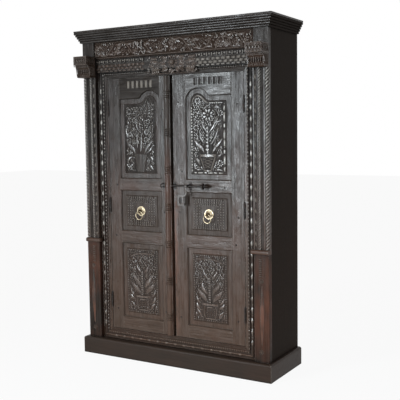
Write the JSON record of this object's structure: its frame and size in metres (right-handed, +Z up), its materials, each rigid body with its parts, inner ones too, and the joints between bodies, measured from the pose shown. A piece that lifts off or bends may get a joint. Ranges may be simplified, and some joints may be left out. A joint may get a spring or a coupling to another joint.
{
  "type": "cabinet",
  "caption": "Tall carved hardwood cabinet with panelled double doors, bracket capitals, stepped cornice, plinth, ring pulls and a sliding bolt with hasp.",
  "frame": {"origin": "on the floor, under the middle of the whole cabinet's box", "axes": "+X to the cabinet's right side as seen from the front, +Y to the back, +Z up"},
  "size_m": [1.366, 0.486, 2.05],
  "materials": {
    "carved_wood": "dark aged hardwood, carved, satin wax",
    "worn_wood": "dark hardwood rubbed to reddish brown, satin wax",
    "plain_wood": "dark stained hardwood, smooth, satin",
    "brass": "polished, slightly aged",
    "iron": "forged black iron, worn edges"
  },
  "bodies": {
    "carcass": {"back_boards": "plain_wood", "base_board": "plain_wood", "capital_left": "carved_wood", "capital_right": "carved_wood", "corner_block_left": "carved_wood", "corner_block_right": "carved_wood", "cornice_front": "carved_wood", "cornice_left": "carved_wood", "cornice_right": "carved_wood", "dado_left": "worn_wood", "dado_right": "worn_wood", "floor_board": "plain_wood", "frieze_board": "carved_wood", "hinge_frame_leaves": "iron", "jamb_left": "carved_wood", "jamb_right": "carved_wood", "lintel": "carved_wood", "neck_band_left": "worn_wood", "neck_band_right": "worn_wood", "pilaster_left": "carved_wood", "pilaster_right": "carved_wood", "plinth_back": "plain_wood", "plinth_front": "carved_wood", "plinth_left": "carved_wood", "plinth_right": "carved_wood", "shelf_cleats": "plain_wood", "shelves": "plain_wood", "side_left": "plain_wood", "side_right": "plain_wood", "sill": "worn_wood", "top_board": "plain_wood"},
    "left_door": {"meeting_stile_left": "carved_wood", "hinge_stile_left": "carved_wood", "top_rail_left": "carved_wood", "upper_rail_left": "carved_wood", "lower_rail_left": "carved_wood", "bottom_rail_left": "carved_wood", "upper_panel_left": "carved_wood", "middle_panel_left": "carved_wood", "lower_panel_left": "carved_wood", "hinge_door_leaves_left": "iron", "rosette_left": "brass", "astragal": "carved_wood", "bolt_keeper": "iron"},
    "right_door": {"meeting_stile_right": "carved_wood", "hinge_stile_right": "carved_wood", "top_rail_right": "carved_wood", "upper_rail_right": "carved_wood", "lower_rail_right": "carved_wood", "bottom_rail_right": "carved_wood", "upper_panel_right": "carved_wood", "middle_panel_right": "carved_wood", "lower_panel_right": "carved_wood", "hinge_door_leaves_right": "iron", "rosette_right": "brass", "bolt_guides": "iron"},
    "left_ring": {"ring_left": "brass"},
    "right_ring": {"ring_right": "brass"},
    "bolt": {"bolt_rod": "iron"},
    "hasp": {"hasp": "iron"}
  },
  "joints": [
    {"name": "left_door_hinge", "type": "hinge", "parent": "carcass", "child": "left_door", "pos_m": [-0.4775, -0.124, 0.961], "axis": [0, 0, -1], "range_deg": [0, 120]},
    {"name": "right_door_hinge", "type": "hinge", "parent": "carcass", "child": "right_door", "pos_m": [0.4775, -0.124, 0.961], "axis": [0, 0, 1], "range_deg": [0, 120]},
    {"name": "left_ring_swing", "type": "hinge", "parent": "left_door", "child": "left_ring", "pos_m": [-0.242, -0.143, 0.93], "axis": [-1, 0, 0], "range_deg": [0, 170]},
    {"name": "right_ring_swing", "type": "hinge", "parent": "right_door", "child": "right_ring", "pos_m": [0.242, -0.143, 0.93], "axis": [-1, 0, 0], "range_deg": [0, 170]},
    {"name": "bolt_slide", "type": "slide", "parent": "right_door", "child": "bolt", "axis": [-1, 0, 0], "range_m": [0, 0.082]},
    {"name": "hasp_swing", "type": "hinge", "parent": "bolt", "child": "hasp", "pos_m": [0.105, -0.151, 1.0945], "axis": [-1, 0, 0], "range_deg": [0, 150]}
  ]
}
